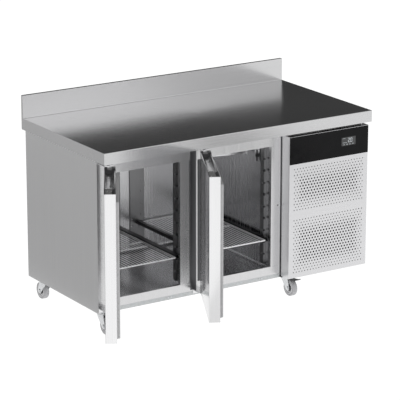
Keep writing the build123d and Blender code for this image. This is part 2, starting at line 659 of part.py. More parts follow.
def make_castor(name, row, plane):
    leg_inner = WHEEL_WIDTH / 2 + 1.5
    with BuildPart(plane) as fork:
        round_bar(0, 0, (84, 89.6), 26)
        round_bar(0, 0, (89, 100), KINGPIN_RADIUS)
        for side in (-1, 1):
            inner = side * leg_inner
            leg_plane = Plane(origin=plane.from_local_coords((inner, 0, 0)), x_dir=plane.y_dir, z_dir=plane.x_dir)
            with BuildSketch(leg_plane):
                with BuildLine():
                    Polyline((-20, 89), (30, 89), (TRAIL + 12, 44), (TRAIL + 12, 32), (TRAIL + 6, 26),
                             (TRAIL - 6, 26), (TRAIL - 12, 32), (-16, 72), close=True)
                make_face()
                with Locations((TRAIL, WHEEL_RADIUS)):
                    Circle(AXLE_RADIUS + 0.01, mode=Mode.SUBTRACT)
            extrude(amount=side * 2.5)
        # the axle bolt, a separate solid clamped through both legs
        reach = leg_inner + 6
        round_bar((-reach, reach), TRAIL, WHEEL_RADIUS, AXLE_RADIUS, Axis.X)
        if row == "front":
            round_bar((-leg_inner - 3, leg_inner + 3), BRAKE_PIVOT[0], BRAKE_PIVOT[1], BRAKE_PIN, Axis.X)
        for side in (-1, 1):
            head = sorted((side * (leg_inner + 2.6), side * reach))
            round_bar(tuple(head), TRAIL, WHEEL_RADIUS, 7, Axis.X)
    save(fork, f"castor_{name}_fork")

    with BuildPart(plane) as wheel:
        half = WHEEL_WIDTH / 2
        with BuildSketch(Plane(origin=plane.from_local_coords((0, TRAIL, WHEEL_RADIUS)),
                               x_dir=plane.x_dir, z_dir=-plane.y_dir)):
            with BuildLine():
                bore_r = AXLE_RADIUS + RUNNING_GAP
                Polyline((-half, bore_r), (-half, 12), (-half + 6, 16), (-half + 6, 26), (-half + 1, 28),
                         (-half + 1, WHEEL_RADIUS - 3), (-half + 4, WHEEL_RADIUS), (half - 4, WHEEL_RADIUS),
                         (half - 1, WHEEL_RADIUS - 3), (half - 1, 28), (half - 6, 26), (half - 6, 16),
                         (half, 12), (half, bore_r), close=True)
            make_face()
        revolve(axis=Axis(plane.from_local_coords((0, TRAIL, WHEEL_RADIUS)), plane.x_dir))
    save(wheel, f"castor_{name}_wheel")

    if row == "front":
        make_brake(name, plane)


def make_brake(name, plane):
    half_width = 12
    side = Plane(origin=plane.from_local_coords((-half_width, 0, 0)), x_dir=plane.y_dir, z_dir=plane.x_dir)
    with BuildPart() as brake:
        with BuildSketch(side):
            with BuildLine():
                Polyline((26, 83), (52, 81), (78, 85), (92, 91), (93, 88), (80, 81), (54, 76.5), (26, 77),
                         close=True)
            make_face()
            with Locations(BRAKE_PIVOT):
                Circle(3.4)
                Circle(BRAKE_PIN + RUNNING_GAP, mode=Mode.SUBTRACT)
        extrude(amount=2 * half_width)
    save(brake, f"castor_{name}_brake")


# ---------------------------------------------------------------- fasteners
def make_fasteners():
    face = BODY["y0"] - 0.1
    with BuildPart() as screws:
        for _, _, plane in castor_planes():
            with BuildSketch(Plane((plane.origin.X, plane.origin.Y, CASTOR_HEIGHT - 9.1))):
                with GridLocations(66, 52, 2, 2):
                    RegularPolygon(6.5, 6)
            extrude(amount=5)
        round_bar(BODY["x1"] - 4, (face - 2, face), 430, 3.5, Axis.Y)
        for x in (OPENINGS[0][1] - 60, OPENINGS[1][1] - 60):
            for shift in (0, 14):
                round_bar(x + shift, (face - 2, face), PLINTH_TOP - 8, 3, Axis.Y)
        for z in (170, 430, 690):
            round_bar((PANEL_RIGHT + 0.1, PANEL_RIGHT + 2.2), -250, z, 4, Axis.X)
            round_bar((PANEL_RIGHT + 0.1, PANEL_RIGHT + 2.2), 290, z, 4, Axis.X)
        for x in (PANEL_LEFT + 30, PANEL_RIGHT - 40):
            for z in (150, 720):
                round_bar(x, (BODY["y1"] + 0.1, BODY["y1"] + 2.2), z, 4, Axis.Y)
    save(screws, "fasteners")


make_worktop()
make_casing()
make_front_frame()
make_racks()
for door_side in ("left", "right"):
    make_shelf(door_side)
    make_door(door_side)
evaporator_fan_y, evaporator_fan_z = make_evaporator()
make_probe_and_drain()
make_hinges()
make_service_panel()
make_machine_casing()
condenser_fan_x, condenser_fan_z = make_refrigeration()
make_fan_motors(evaporator_fan_y, evaporator_fan_z, condenser_fan_x, condenser_fan_z)
make_castors()
make_fasteners()
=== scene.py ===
import json
import math

import bmesh
import bpy
from mathutils import Matrix, Vector


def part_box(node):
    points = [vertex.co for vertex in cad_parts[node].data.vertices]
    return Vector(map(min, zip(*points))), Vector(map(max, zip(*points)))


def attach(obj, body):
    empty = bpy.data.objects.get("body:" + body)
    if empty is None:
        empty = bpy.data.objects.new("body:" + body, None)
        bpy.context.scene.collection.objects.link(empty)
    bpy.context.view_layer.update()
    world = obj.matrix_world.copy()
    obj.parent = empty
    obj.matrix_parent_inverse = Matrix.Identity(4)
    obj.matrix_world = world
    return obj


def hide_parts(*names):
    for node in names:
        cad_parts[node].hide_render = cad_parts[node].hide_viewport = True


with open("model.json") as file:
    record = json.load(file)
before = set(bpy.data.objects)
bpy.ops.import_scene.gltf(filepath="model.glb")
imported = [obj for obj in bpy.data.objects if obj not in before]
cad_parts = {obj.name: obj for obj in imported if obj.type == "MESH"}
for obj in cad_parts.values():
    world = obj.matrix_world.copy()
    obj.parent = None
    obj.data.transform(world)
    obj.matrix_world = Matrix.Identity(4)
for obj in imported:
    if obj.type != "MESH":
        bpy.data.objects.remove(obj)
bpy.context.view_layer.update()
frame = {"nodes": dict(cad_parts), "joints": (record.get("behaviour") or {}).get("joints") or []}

joints = {joint["name"]: joint for joint in frame["joints"]}
MM = 0.001
SHARP = 1.2

# ------------------------------------------------------------------ mesh helpers


def add_box(bm, low, high, bevel=0.0008, segments=2, matrix=None):
    """A box with rounded edges between two corners, optionally placed by a matrix."""
    low, high = Vector(low), Vector(high)
    size = high - low
    made = bmesh.ops.create_cube(bm, size=1.0)["verts"]
    bmesh.ops.scale(bm, vec=size, verts=made)
    bmesh.ops.translate(bm, vec=(low + high) / 2, verts=made)
    edges = list({edge for vert in made for edge in vert.link_edges})
    if bevel:
        width = min(bevel, 0.45 * min(size))
        made = bmesh.ops.bevel(
            bm, geom=edges, offset=width, segments=segments, affect="EDGES", profile=0.5)["verts"]
    if matrix is not None:
        bmesh.ops.transform(bm, matrix=matrix, verts=connected(made))


def connected(verts):
    """Every vertex of the island that the given vertices belong to."""
    todo, seen = list(verts), set(verts)
    while todo:
        for edge in todo.pop().link_edges:
            for vert in edge.verts:
                if vert not in seen:
                    seen.add(vert)
                    todo.append(vert)
    return list(seen)


def add_prism(bm, outline, place, length):
    """A closed outline in two dimensions, carried along the third: place(a, b, c) gives the point."""
    rings = [[bm.verts.new(place(a, b, c)) for a, b in outline] for c in (0, length)]
    count = len(outline)
    for i in range(count):
        j = (i + 1) % count
        bm.faces.new((rings[0][i], rings[0][j], rings[1][j], rings[1][i]))
    bm.faces.new(list(reversed(rings[0])))
    bm.faces.new(rings[1])


def join_loops(bm, loops):
    """Faces between each loop of points and the next one."""
    for one, two in zip(loops, loops[1:]):
        for i in range(len(one)):
            j = (i + 1) % len(one)
            bm.faces.new((one[i], one[j], two[j], two[i]))


def round_edges(bm, offset):
    """Rounds every edge that turns by more than SHARP radians."""
    edges = [edge for edge in bm.edges if edge.calc_face_angle(0) > SHARP]
    bmesh.ops.bevel(bm, geom=edges, offset=offset, segments=2, affect="EDGES", profile=0.5)


def rounded(points, radii, steps=4):
    """A closed outline with each corner turned into an arc of its own radius."""
    out = []
    count = len(points)
    for i, point in enumerate(points):
        here = Vector(point)
        before, after = Vector(points[i - 1]) - here, Vector(points[(i + 1) % count]) - here
        radius = radii[i] if isinstance(radii, (list, tuple)) else radii
        angle = before.angle(after, math.pi)
        if radius <= 0 or angle > math.pi - 0.01:
            out.append(tuple(here))
            continue
        reach = min(radius / math.tan(angle / 2), 0.49 * before.length, 0.49 * after.length)
        radius = reach * math.tan(angle / 2)
        middle = (before.normalized() + after.normalized()).normalized()
        centre = here + middle * (radius / math.sin(angle / 2))
        start = here + before.normalized() * reach - centre
        end = here + after.normalized() * reach - centre
        sweep = start.angle_signed(end)
        for step in range(steps + 1):
            turned = Matrix.Rotation(-sweep * step / steps, 2) @ start
            out.append(tuple(centre + turned))
    return out


def add_lathe(bm, profile, place, segments=48):
    """A profile of (radius, height) turned about an axis; one that ends where it starts makes a ring."""
    rings = []
    joined = profile[0] == profile[-1]
    for radius, height in profile[:-1] if joined else profile:
        if radius < 1e-6:
            rings.append([bm.verts.new(place(0, 0, height))])
            continue
        ring = []
        for step in range(segments):
            angle = 2 * math.pi * step / segments
            ring.append(bm.verts.new(place(radius * math.cos(angle), radius * math.sin(angle), height)))
        rings.append(ring)
    if joined:
        rings.append(rings[0])
    for low, high in zip(rings, rings[1:]):
        for i in range(segments):
            j = (i + 1) % segments
            if len(low) == 1 and len(high) == 1:
                continue
            if len(low) == 1:
                bm.faces.new((low[0], high[j], high[i]))
            elif len(high) == 1:
                bm.faces.new((low[i], low[j], high[0]))
            else:
                bm.faces.new((low[i], low[j], high[j], high[i]))
    for ring, flip in ((rings[0], True), (rings[-1], False)):
        if len(ring) > 1 and not joined:
            bm.faces.new(list(reversed(ring)) if flip else ring)


def finish_piece(bm, name, material, body, replaces=(), smooth_angle=35):
    """Turns a bmesh into a named piece that rides on a body, and hides the CAD parts it stands for."""
    bmesh.ops.recalc_face_normals(bm, faces=bm.faces)
    mesh = bpy.data.meshes.new(name)
    bm.to_mesh(mesh)
    bm.free()
    piece = bpy.data.objects.new(name, mesh)
    bpy.context.scene.collection.objects.link(piece)
    mesh.materials.append(material)
    mesh.polygons.foreach_set("use_smooth", [True] * len(mesh.polygons))
    mesh.set_sharp_from_angle(angle=math.radians(smooth_angle))
    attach(piece, body)
    if replaces:
        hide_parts(*replaces)


# ------------------------------------------------------------------ materials


def shader(name):
    """A new material, its node tree and its shader node."""
    material = bpy.data.materials.new(name)
    material.use_nodes = True
    tree = material.node_tree
    return material, tree, tree.nodes["Principled BSDF"]


def noise_at(tree, scale, detail=4.0, roughness=0.55, stretch=(1, 1, 1)):
    """Noise in the object's own space, drawn out along the small parts of stretch."""
    where = tree.nodes.new("ShaderNodeTexCoord")
    mapping = tree.nodes.new("ShaderNodeMapping")
    mapping.inputs["Scale"].default_value = stretch
    tree.links.new(where.outputs["Object"], mapping.inputs["Vector"])
    noise = tree.nodes.new("ShaderNodeTexNoise")
    noise.inputs["Scale"].default_value = scale
    noise.inputs["Detail"].default_value = detail
    noise.inputs["Roughness"].default_value = roughness
    tree.links.new(mapping.outputs["Vector"], noise.inputs["Vector"])
    return noise.outputs["Fac"]


def spread(tree, value, low, high):
    """Maps noise from 0.3..0.7 to the range low..high."""
    node = tree.nodes.new("ShaderNodeMapRange")
    node.inputs["From Min"].default_value = 0.3
    node.inputs["From Max"].default_value = 0.7
    node.inputs["To Min"].default_value = low
    node.inputs["To Max"].default_value = high
    tree.links.new(value, node.inputs["Value"])
    return node.outputs["Result"]


def tint(tree, value, dark, light):
    """A colour between two, picked by a value."""
    node = tree.nodes.new("ShaderNodeMix")
    node.data_type = "RGBA"
    node.inputs["A"].default_value = (*dark, 1)
    node.inputs["B"].default_value = (*light, 1)
    tree.links.new(value, node.inputs["Factor"])
    return node.outputs["Result"]


def bump(tree, value, distance, strength):
    """A normal raised by a value."""
    node = tree.nodes.new("ShaderNodeBump")
    node.inputs["Strength"].default_value = strength
    node.inputs["Distance"].default_value = distance
    tree.links.new(value, node.inputs["Height"])
    return node.outputs["Normal"]


GRAIN = {"X": (1.5, 260, 260), "Y": (260, 1.5, 260), "Z": (260, 260, 1.5)}
CONTRAST = 0.03  # how far the grain lightens and darkens a sheet


def brushed(name, tone, rough, grain):
    """Brushed sheet steel: fine lines along the grain, and slow cloudy wear over the sheet."""
    material, tree, bsdf = shader(name)
    lines = noise_at(tree, 1.0, 3.0, 0.6, GRAIN[grain])
    clouds = noise_at(tree, 2.2, 3.0, 0.5)
    both = tree.nodes.new("ShaderNodeMath")
    both.operation = "MULTIPLY_ADD"
    both.inputs[1].default_value = 0.35
    tree.links.new(clouds, both.inputs[0])
    scaled = tree.nodes.new("ShaderNodeMath")
    scaled.operation = "MULTIPLY"
    scaled.inputs[1].default_value = 0.65
    tree.links.new(lines, scaled.inputs[0])
    tree.links.new(scaled.outputs[0], both.inputs[2])
    value = both.outputs[0]
    dark = tuple(channel * (1 - CONTRAST) for channel in tone)
    light = tuple(min(1, channel * (1 + CONTRAST)) for channel in tone)
    tree.links.new(tint(tree, spread(tree, value, 0, 1), dark, light), bsdf.inputs["Base Color"])
    tree.links.new(spread(tree, value, rough - 0.03, rough + 0.03), bsdf.inputs["Roughness"])
    tree.links.new(bump(tree, lines, 0.00001, 0.06), bsdf.inputs["Normal"])
    bsdf.inputs["Metallic"].default_value = 1.0
    bsdf.inputs["Anisotropic"].default_value = 0.4
    return material


def mottled(name, dark, light, rough, metallic, scale, depth, cells=False, coat=0.0, spec=0.5):
    """A cast, moulded or plated surface: two close tones, uneven roughness and a fine skin."""
    material, tree, bsdf = shader(name)
    skin = noise_at(tree, scale * 6, 5.0, 0.6)
    patches = noise_at(tree, scale, 3.0, 0.5)
    if cells:
        where = tree.nodes.new("ShaderNodeTexCoord")
        grains = tree.nodes.new("ShaderNodeTexVoronoi")
        grains.inputs["Scale"].default_value = scale
        tree.links.new(where.outputs["Object"], grains.inputs["Vector"])
        split = tree.nodes.new("ShaderNodeSeparateColor")
        tree.links.new(grains.outputs["Color"], split.inputs["Color"])
        patches = split.outputs["Red"]
    tree.links.new(tint(tree, spread(tree, patches, 0, 1), dark, light), bsdf.inputs["Base Color"])
    tree.links.new(spread(tree, patches, rough - 0.05, rough + 0.06), bsdf.inputs["Roughness"])
    tree.links.new(bump(tree, skin, depth, 0.35), bsdf.inputs["Normal"])
    bsdf.inputs["Metallic"].default_value = metallic
    bsdf.inputs["Coat Weight"].default_value = coat
    bsdf.inputs["Specular IOR Level"].default_value = spec
    return material


def finned(name, axis, pitch, dark, light):
    """Thin aluminium fins drawn near black for the shade they sit in: a wave across the coil paints darker shade
    in the gaps between them.
    """
    material, tree, bsdf = shader(name)
    where = tree.nodes.new("ShaderNodeTexCoord")
    wave = tree.nodes.new("ShaderNodeTexWave")
    wave.bands_direction = axis
    wave.inputs["Scale"].default_value = 0.314 / pitch
    wave.inputs["Distortion"].default_value = 0.4
    tree.links.new(where.outputs["Object"], wave.inputs["Vector"])
    tree.links.new(tint(tree, wave.outputs["Fac"], dark, light), bsdf.inputs["Base Color"])
    tree.links.new(spread(tree, noise_at(tree, 40), 0.35, 0.5), bsdf.inputs["Roughness"])
    bsdf.inputs["Metallic"].default_value = 0.9
    return material


def lit(name, colour, strength):
    """A lit segment: even light with a faint grain."""
    material, tree, bsdf = shader(name)
    shade = tint(tree, noise_at(tree, 900), tuple(channel * 0.8 for channel in colour), colour)
    tree.links.new(shade, bsdf.inputs["Emission Color"])
    tree.links.new(shade, bsdf.inputs["Base Color"])
    bsdf.inputs["Emission Strength"].default_value = strength
    bsdf.inputs["Roughness"].default_value = 0.4
    return material


STEEL = (0.60, 0.60, 0.605)
top_steel = brushed("worktop_steel", STEEL, 0.20, "X")
side_steel = brushed("side_steel", STEEL, 0.30, "Z")
frame_steel = brushed("frame_steel", (0.64, 0.64, 0.645), 0.22, "Z")
door_steel = brushed("door_steel", (0.66, 0.66, 0.665), 0.16, "Z")
liner_steel = brushed("liner_steel", (0.56, 0.56, 0.57), 0.26, "Z")
panel_steel = brushed("panel_steel", (0.66, 0.66, 0.67), 0.30, "X")
bright_steel = brushed("bright_steel", (0.76, 0.76, 0.77), 0.22, "X")
# painted shade: near-black steel for the centre-post strips, partly the post's trim and partly the shade and dark
# reflection beside the right door's hinge end
trim_and_painted_shade_steel = brushed("trim_and_painted_shade_steel", (0.10, 0.10, 0.105), 0.35, "Z")
rack_steel = brushed("rack_steel", (0.26, 0.26, 0.265), 0.34, "Z")
# painted shade: the shelf runners are drawn near black for the shade they lie in beside the shelves' rims
runner_painted_shade_steel = brushed("runner_painted_shade_steel", (0.045, 0.045, 0.047), 0.4, "Y")
galvanised = mottled(
    "galvanised_sheet", (0.48, 0.495, 0.50), (0.55, 0.565, 0.57), 0.42, 1.0, 130.0, 0.00003, cells=True)
zinc = mottled("zinc_plate", (0.58, 0.59, 0.60), (0.72, 0.73, 0.74), 0.30, 1.0, 90.0, 0.00004)
wire_plate = mottled("wire_coating", (0.80, 0.80, 0.81), (0.90, 0.90, 0.91), 0.30, 0.35, 160.0, 0.00003)
# painted shade: the coils are drawn near black for the shade they lie in behind vent holes and covers
fin_painted_shade_metal = finned("fin_painted_shade_metal", "X", 0.0028, (0.02, 0.02, 0.021), (0.12, 0.12, 0.122))
copper = mottled("copper_pipe", (0.48, 0.22, 0.12), (0.66, 0.34, 0.20), 0.30, 1.0, 70.0, 0.00003)
black_paint = mottled(
    "black_enamel", (0.012, 0.012, 0.013), (0.03, 0.03, 0.032), 0.32, 0.0, 50.0, 0.00005, coat=0.3)
black_plastic = mottled("black_plastic", (0.018, 0.018, 0.02), (0.04, 0.04, 0.042), 0.5, 0.0, 120.0, 0.00005)
# painted shade: a near-black sheet behind the service panel's vent holes
screen_painted_shade_black = mottled(
    "screen_painted_shade_black", (0.002, 0.002, 0.002), (0.006, 0.006, 0.006), 0.8, 0.0, 200.0, 0.00003, spec=0.04)
grip_metal = brushed("grip_metal", (0.46, 0.46, 0.465), 0.24, "Y")
dark_race = mottled("ball_race", (0.05, 0.05, 0.052), (0.12, 0.12, 0.122), 0.35, 0.8, 120.0, 0.00003)
grip_plastic = mottled("grip_profile", (0.20, 0.20, 0.205), (0.27, 0.27, 0.275), 0.30, 0.7, 60.0, 0.00003)
bright_cap = mottled("bright_cap", (0.86, 0.86, 0.86), (0.93, 0.93, 0.93), 0.22, 0.9, 90.0, 0.00002)
gasket_rubber = mottled("gasket_rubber", (0.34, 0.34, 0.345), (0.44, 0.44, 0.445), 0.55, 0.0, 140.0, 0.00006)
tread_rubber = mottled("tread_rubber", (0.36, 0.36, 0.37), (0.46, 0.46, 0.47), 0.6, 0.0, 140.0, 0.0001)
hub_plastic = mottled("hub_plastic", (0.55, 0.55, 0.56), (0.66, 0.66, 0.67), 0.42, 0.0, 90.0, 0.00004)
foam = mottled("cream_foam", (0.66, 0.60, 0.42), (0.78, 0.72, 0.54), 0.85, 0.0, 45.0, 0.0004, cells=True)
black_glass = mottled(
    "black_glass", (0.003, 0.003, 0.0035), (0.005, 0.005, 0.0055), 0.12, 0.0, 25.0, 0.00001, spec=0.12)
window_glass = mottled(
    "window_glass", (0.035, 0.036, 0.037), (0.05, 0.051, 0.052), 0.22, 0.0, 25.0, 0.00001)
lit_digit = lit("lit_digit", (0.55, 0.58, 0.6), 0.28)
lit_mark = lit("lit_mark", (0.45, 0.48, 0.5), 0.3)

CAD_FINISH = {
    galvanised: ("partition_panel", "back_panel", "bottom_panel", "machine_base", "machine_back_grille"),
    foam: ("insulation",),
    liner_steel: ("liner",),
    fin_painted_shade_metal: ("evaporator_coil", "condenser_coil"),
    black_paint: ("fan_motors", "fan_shroud", "compressor"),
    gasket_rubber: ("compressor_mounts",),
    copper: ("refrigerant_pipes",),
    black_plastic: ("worktop_board", "evaporation_tray", "electrical_box", "cable_inlet", "drain_plug",
                    "temperature_probe", "evaporator_fan", "condenser_fan"),
    side_steel: ("machine_side_panel", "side_panel"),
    panel_steel: ("service_panel",),
    zinc: ("castor_plates", "fasteners", "hinge_pins"),
    bright_steel: ("hinge_brackets", "evaporator_cover"),
    frame_steel: ("front_frame",),
    top_steel: ("worktop",),
    rack_steel: ("rack_uprights",),
    runner_painted_shade_steel: ("shelf_runners",),
    wire_plate: ("shelf_left", "shelf_right"),
    black_glass: ("control_fascia",),
    window_glass: ("control_display",),
}
FINISH_BY_NODE = {node: finish for finish, nodes in CAD_FINISH.items() for node in nodes}
FINISH_BY_ENDING = {
    "skin": door_steel, "core": foam, "liner": liner_steel, "gasket": gasket_rubber, "grip": grip_plastic,
    "bushes": black_plastic, "fork": zinc, "wheel": tread_rubber, "brake": black_plastic,
}
for node_name, node in frame["nodes"].items():
    ending = node_name.rsplit("_", 1)[-1]
    used = FINISH_BY_NODE.get(node_name) or FINISH_BY_ENDING[ending]
    node.data.materials.clear()
    node.data.materials.append(used)

# ------------------------------------------------------------------ doors

# in door-local millimetres: u runs along the door from its pivot, w goes into the cabinet, z is up
U0, U1 = -9.0, 398.0
W0, W1 = -7.0, 39.0
DOOR_BOTTOM, GRIP_FLOOR, DOOR_TOP = 133.0, 715.0, 745.0
SHEET = 1.2
TRAY_U, TRAY_Z = (25, 379), (165, 700)
GASKET_U, GASKET_Z = (11, 394), (150, 713)
CAP_INNER, CAP_OUTER = 11.0, 308.0  # where the grip's end caps meet its trough


def door_frame(side):
    """Places door-local millimetres in the shared frame, with the door open as it is at rest."""
    joint = joints[f"door_{side}_hinge"]
    angle = math.radians(joint["range_deg"][1])
    along = Vector((math.cos(angle), -math.sin(angle), 0))
    inward = Vector((math.sin(angle), math.cos(angle), 0))
    pivot_x, pivot_y, _ = joint["pos_m"]
    return Matrix((
        (along.x * MM, inward.x * MM, 0, pivot_x),
        (along.y * MM, inward.y * MM, 0, pivot_y),
        (0, 0, MM, 0),
        (0, 0, 0, 1),
    ))


def finish_door_piece(bm, side, name, material, replaces=(), smooth_angle=35):
    """Moves a door piece from door-local millimetres into place, and finishes it."""
    bmesh.ops.transform(bm, matrix=door_frame(side), verts=bm.verts)
    stands_for = [f"door_{side}_{node}" for node in replaces]
    finish_piece(bm, f"door_{side}_{name}", material, f"door_{side}", stands_for, smooth_angle)


def make_pan(side):
    """The folded outer pan: a channel of the door's full height, with a floor below it and under the grip."""
    bm = bmesh.new()
    edge, back = SHEET, W1 - SHEET
    outer = rounded([(U0, W1), (U0, W0), (U1, W0), (U1, W1)], [0, 3, 3, 0], 5)
    inner = rounded([(U1 - edge, W1), (U1 - edge, W0 + edge), (U0 + edge, W0 + edge), (U0 + edge, W1)],
                    [0, 1.8, 1.8, 0], 5)
    add_prism(bm, outer + inner, lambda a, b, c: (a, b, c + DOOR_BOTTOM), DOOR_TOP - DOOR_BOTTOM)
    round_edges(bm, 0.3)
    for bottom in (DOOR_BOTTOM, GRIP_FLOOR - 1):
        add_box(bm, (U0 + edge, W0 + edge, bottom), (U1 - edge, W1, bottom + 1), 0.2, 1)
    # the inner face round the tray: two sides, then below and above
    for u, z in (((U0, 26), (DOOR_BOTTOM, GRIP_FLOOR)), ((378, U1), (DOOR_BOTTOM, GRIP_FLOOR)),
                 ((24, 380), (DOOR_BOTTOM, 166)), ((24, 380), (699, GRIP_FLOOR))):
        add_box(bm, (u[0], back, z[0]), (u[1], W1, z[1]), 0.4, 2)
    finish_door_piece(bm, side, "pan", door_steel, ["skin"])


def make_grip(side):
    """The grip along the top: a smooth trough, its two end caps, and a bright slope on the free end."""
    lift = GRIP_FLOOR + 0.2
    lip = W0 + 1.4
    bm = bmesh.new()
    trough = [(lip, lift), (lip, DOOR_TOP - 1), (W0 + 3.0, DOOR_TOP - 1), (W0 + 3.2, DOOR_TOP - 9)]
    steps = 14
    for step in range(steps + 1):
        t = step / steps
        dip = 16 * (1 - math.sin(math.pi * (0.16 + 0.72 * t)))
        trough.append((W0 + 3.2 + t * 35, GRIP_FLOOR + 5 + dip))
    trough += [(W1 - 5.5, DOOR_TOP - 8), (W1 - 0.6, DOOR_TOP - 8.4), (W1, DOOR_TOP - 10), (W1, lift)]
    add_prism(bm, trough, lambda a, b, c: (c + CAP_INNER, a, b), CAP_OUTER - CAP_INNER)
    finish_door_piece(bm, side, "grip_channel", grip_metal, ["grip"], 30)

    bm = bmesh.new()
    section = [(lip, lift), (lip, DOOR_TOP - 1.5), (W0 + 4.5, DOOR_TOP - 3), (W0 + 8, DOOR_TOP - 10),
               (W1 - 16, DOOR_TOP - 10), (W1 - 10, DOOR_TOP - 3), (W1 - 4, DOOR_TOP - 3),
               (W1, DOOR_TOP - 4.5), (W1, lift)]
    for low, high in ((U0 + 1.4, CAP_INNER), (CAP_OUTER, U1 - 1.4)):
        add_prism(bm, rounded(section, 1.2, 3), lambda a, b, c: (c + low, a, b), high - low)
    round_edges(bm, 0.5)
    finish_door_piece(bm, side, "grip_caps", black_plastic)

    bm = bmesh.new()
    top, bottom = DOOR_TOP - 1.2, DOOR_TOP - 11
    slope = [(CAP_OUTER - 6, bottom), (CAP_OUTER - 6, top), (CAP_OUTER + 4, top), (U1 - 26, DOOR_TOP - 9),
             (U1 - 24, bottom)]
    add_prism(bm, rounded(slope, 0.8, 3), lambda a, b, c: (a, c + W0 + 5, b), 26)
    finish_door_piece(bm, side, "grip_insert", bright_cap)


def outline_at(u, z, inset, radius, steps):
    """A rounded rectangle in the door's plane, drawn in by an inset."""
    a0, a1, c0, c1 = u[0] + inset, u[1] - inset, z[0] + inset, z[1] - inset
    return rounded([(a0, c0), (a1, c0), (a1, c1), (a0, c1)], radius, steps)


def make_tray(side):
    """The inner liner: a pressed tray with a raised rim round a lower middle."""
    bm = bmesh.new()
    # inset from the tray's edge, rise from the door's inner face, corner radius
    steps = ((0.0, 0.1, 12), (0.4, 4.6, 12), (2.2, 6.0, 12), (26, 6.0, 10), (30, 3.4, 9), (150, 3.4, 6))
    loops = []
    for inset, rise, radius in steps:
        plan = outline_at(TRAY_U, TRAY_Z, inset, radius, 6)
        loops.append([bm.verts.new((a, W1 + rise, c)) for a, c in plan])
    join_loops(bm, loops)
    bm.faces.new(loops[-1])
    bm.faces.new(list(reversed(loops[0])))
    finish_door_piece(bm, side, "inner_tray", liner_steel, ["liner"], 30)


def make_gasket(side):
    """The magnetic gasket: a bellows section carried round the door, with small rounded corners."""
    bm = bmesh.new()
    # inset from the gasket's outer edge, and rise from the door's inner face
    section = ((0, 0.1), (0, 2.6), (1.6, 3.6), (1.6, 5.2), (0.2, 6.2), (0.2, 7.6), (1.8, 8.6), (1.4, 12.0),
               (3.0, 12.6), (9.6, 12.6), (11.0, 12.0), (10.6, 8.6), (12.2, 7.6), (12.2, 6.2), (10.8, 5.2),
               (10.8, 3.6), (12.6, 2.6), (12.6, 0.1))
    loops = []
    for inset, rise in section:
        plan = outline_at(GASKET_U, GASKET_Z, inset, max(0.6, 4 - inset / 4), 3)
        loops.append([bm.verts.new((a, W1 + rise, c)) for a, c in plan])
    join_loops(bm, loops + loops[:1])
    finish_door_piece(bm, side, "bellows", gasket_rubber, ["gasket"], 50)


for door_side in ("left", "right"):
    make_pan(door_side)
    make_grip(door_side)
    make_tray(door_side)
    make_gasket(door_side)

# ------------------------------------------------------------------ front of the cabinet


def make_frame_trim_and_painted_shade():
    """Dark strips on the two halves of the centre post, and two narrow beads on the wider one. The wider strip is
    partly the post's own dark trim and partly painted shade and dark reflection from the right door's hinge end;
    the narrower strip is painted shade.
    """
    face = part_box("front_frame")[0][1]
    left = -0.2212  # the left edge of the wider strip
    bm = bmesh.new()
    add_box(bm, (left, face - 0.0006, 0.1285), (left + 0.0300, face + 0.002, 0.7535), 0.0004)
    # painted shade beside the right door's hinge side: this one lies under the right door's gasket, so it hardly
    # stands out
    add_box(bm, (left + 0.036, face - 0.0001, 0.1620), (left + 0.0520, face + 0.002, 0.6960), 0.0004)
    for x in (left + 0.009, left + 0.019):
        add_box(bm, (x, face - 0.0011, 0.129), (x + 0.0022, face + 0.001, 0.753), 0.0004)
    finish_piece(bm, "centre_post_trim_and_painted_shade", trim_and_painted_shade_steel, "cabinet")


def make_display():
    """The glass window with two generic digits, a point, four key marks and two short lines."""
    low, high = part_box("control_display")
    face = low[1]
    bm = bmesh.new()
    outline = rounded([(low[0], low[2]), (high[0], low[2]), (high[0], high[2]), (low[0], high[2])], 0.002, 4)
    add_prism(bm, outline, lambda a, b, c: (a, face + 0.0002 + c, b), 0.0012)
    finish_piece(bm, "display_window", window_glass, "cabinet", ["control_display"])

    # each segment runs between two corners of a digit that is 1 wide and 2 tall
    segments = {"a": (0, 2, 1, 2), "b": (1, 1, 1, 2), "c": (1, 0, 1, 1), "d": (0, 0, 1, 0), "e": (0, 0, 0, 1),
                "f": (0, 1, 0, 2), "g": (0, 1, 1, 1)}
    wide, tall, half_thick, digit_pitch = 0.0075, 0.0085, 0.0009, 0.0125
    front, rear = face - 0.0002, face + 0.0004
    bm = bmesh.new()
    start = (low[0] + high[0]) / 2 - 0.002
    base = low[2] + 0.0145
    for place, lit_segments in enumerate(("abdeg", "abcdef")):
        x = start + place * digit_pitch
        for letter in lit_segments:
            xa, za, xb, zb = segments[letter]
            a = (x + min(xa, xb) * wide - half_thick, front, base + min(za, zb) * tall - half_thick)
            b = (x + max(xa, xb) * wide + half_thick, rear, base + max(za, zb) * tall + half_thick)
            add_box(bm, a, b, 0.0003, 1)
    add_box(bm, (start + 0.0097, front, base), (start + 0.0112, rear, base + 0.0015), 0.0002, 1)
    finish_piece(bm, "display_digits", lit_digit, "cabinet")

    bm = bmesh.new()
    key_z, key_pitch = 0.672, 0.0155
    ring = [(0.0026, 0), (0.0026, 0.0005), (0.0016, 0.0005), (0.0016, 0)]
    for key in range(4):
        x = low[0] + 0.0137 + key * key_pitch
        add_lathe(bm, ring, lambda a, b, c: (x + a, rear - c, key_z + b), 20)
    for line in range(2):
        x, z = low[0] + 0.006, 0.6795 + line * 0.0185
        length = 0.022 - line * 0.008
        add_box(bm, (x, face - 0.0001, z), (x + length, rear, z + 0.0012), 0.0002, 1)
    finish_piece(bm, "display_marks", lit_mark, "cabinet")


